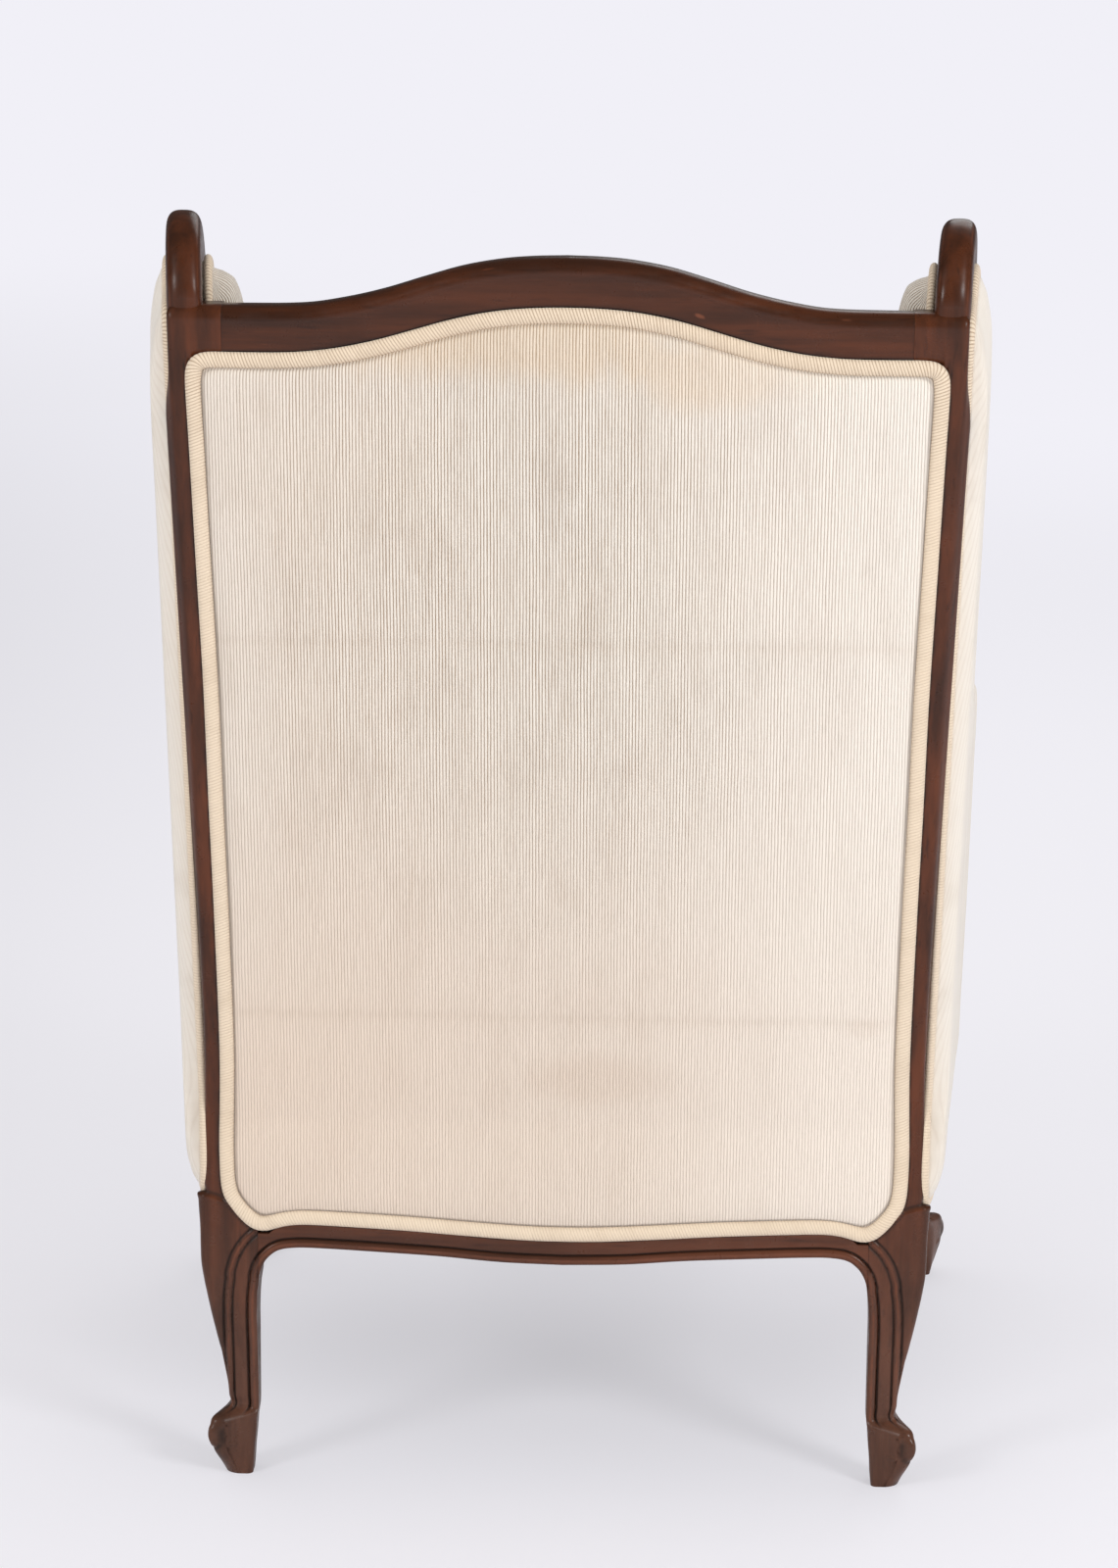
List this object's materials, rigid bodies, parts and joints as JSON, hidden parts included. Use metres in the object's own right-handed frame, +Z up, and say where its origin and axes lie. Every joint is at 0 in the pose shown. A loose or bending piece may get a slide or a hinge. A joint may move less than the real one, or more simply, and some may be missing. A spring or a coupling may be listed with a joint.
{
  "type": "bergere armchair",
  "caption": "Winged armchair with closed padded sides, a loose seat cushion and carved cabriole legs with whorl feet",
  "frame": {"origin": "on the floor, under the centre of the bounding box", "axes": "+X to the sitter's left, -Y to the front of the chair, +Z up"},
  "size_m": [0.7268, 0.7356, 1.0665],
  "materials": {
    "walnut_wood": "walnut-stained, satin varnish, slightly worn",
    "frame_wood": "bare sawn beech",
    "screw_steel": "plain",
    "jute": "woven jute",
    "dust_cloth": "thin dark cotton",
    "ivory_fabric": "ribbed ivory velvet"
  },
  "bodies": {
    "frame": {"left_rear_post": "walnut_wood", "right_rear_post": "walnut_wood", "crest_rail": "walnut_wood", "rear_seat_rail": "walnut_wood", "left_side_rail": "walnut_wood", "right_side_rail": "walnut_wood", "front_seat_rail": "walnut_wood", "left_front_leg": "walnut_wood", "right_front_leg": "walnut_wood", "left_arm_support": "walnut_wood", "right_arm_support": "walnut_wood", "left_arm_rail": "walnut_wood", "right_arm_rail": "walnut_wood", "left_wing_rail": "walnut_wood", "right_wing_rail": "walnut_wood", "lower_back_rail": "frame_wood", "left_tacking_rail": "frame_wood", "right_tacking_rail": "frame_wood", "corner_blocks": "frame_wood", "corner_screws": "screw_steel", "seat_webbing_long": "jute", "seat_webbing_cross": "jute", "seat_hessian": "jute", "back_webbing": "jute", "back_hessian": "jute", "dust_cover": "dust_cloth", "seat_deck": "ivory_fabric", "inside_back_pad": "ivory_fabric", "inside_back_welt": "ivory_fabric", "outside_back_panel": "ivory_fabric", "outside_back_welt": "ivory_fabric", "left_wing_pad": "ivory_fabric", "right_wing_pad": "ivory_fabric", "left_wing_welt": "ivory_fabric", "right_wing_welt": "ivory_fabric", "left_inside_arm_pad": "ivory_fabric", "right_inside_arm_pad": "ivory_fabric", "left_outside_panel": "ivory_fabric", "right_outside_panel": "ivory_fabric", "left_outside_welt": "ivory_fabric", "right_outside_welt": "ivory_fabric", "left_arm_rest": "ivory_fabric", "right_arm_rest": "ivory_fabric"},
    "cushion": {"seat_cushion": "ivory_fabric"}
  },
  "joints": [
    {"name": "cushion_lift", "type": "slide", "parent": "frame", "child": "cushion", "axis": [0, -0.8, 0.6], "range_m": [0, 0.65]}
  ]
}
